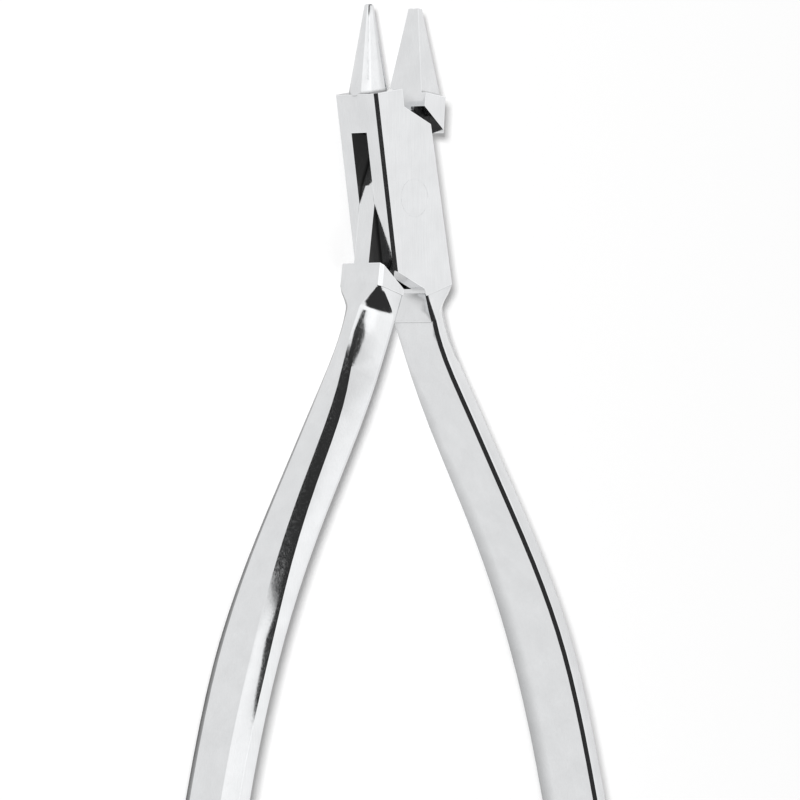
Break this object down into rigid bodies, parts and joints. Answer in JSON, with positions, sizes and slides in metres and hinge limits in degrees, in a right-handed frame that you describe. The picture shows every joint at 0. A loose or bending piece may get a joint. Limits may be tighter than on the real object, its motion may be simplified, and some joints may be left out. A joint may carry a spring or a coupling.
{
  "type": "orthodontic pliers",
  "caption": "Box-jointed orthodontic wire-bending pliers with a round conical beak, a D-shaped beak and bowed faceted handles, turning on a flush pivot pin.",
  "frame": {"origin": "on the pivot axis, on the rear face of the box", "axes": "+Z along the pivot axis from the rear face to the front face, +Y from the pivot towards the beaks, +X to the right seen from the front"},
  "size_m": [0.069, 0.1219, 0.0088],
  "materials": {
    "polished_steel": "polished stainless steel",
    "polished_steel_inner": "polished stainless steel",
    "pin_steel": "ground flush stainless steel"
  },
  "bodies": {
    "box_half": {"box_half": "polished_steel", "pivot_pin": "pin_steel"},
    "inner_half": {"inner_half": "polished_steel_inner"}
  },
  "joints": [
    {"name": "pivot", "type": "hinge", "parent": "box_half", "child": "inner_half", "pos_m": [0, 0, 0.0033], "axis": [0, 0, -1], "range_deg": [-17, 12]}
  ]
}
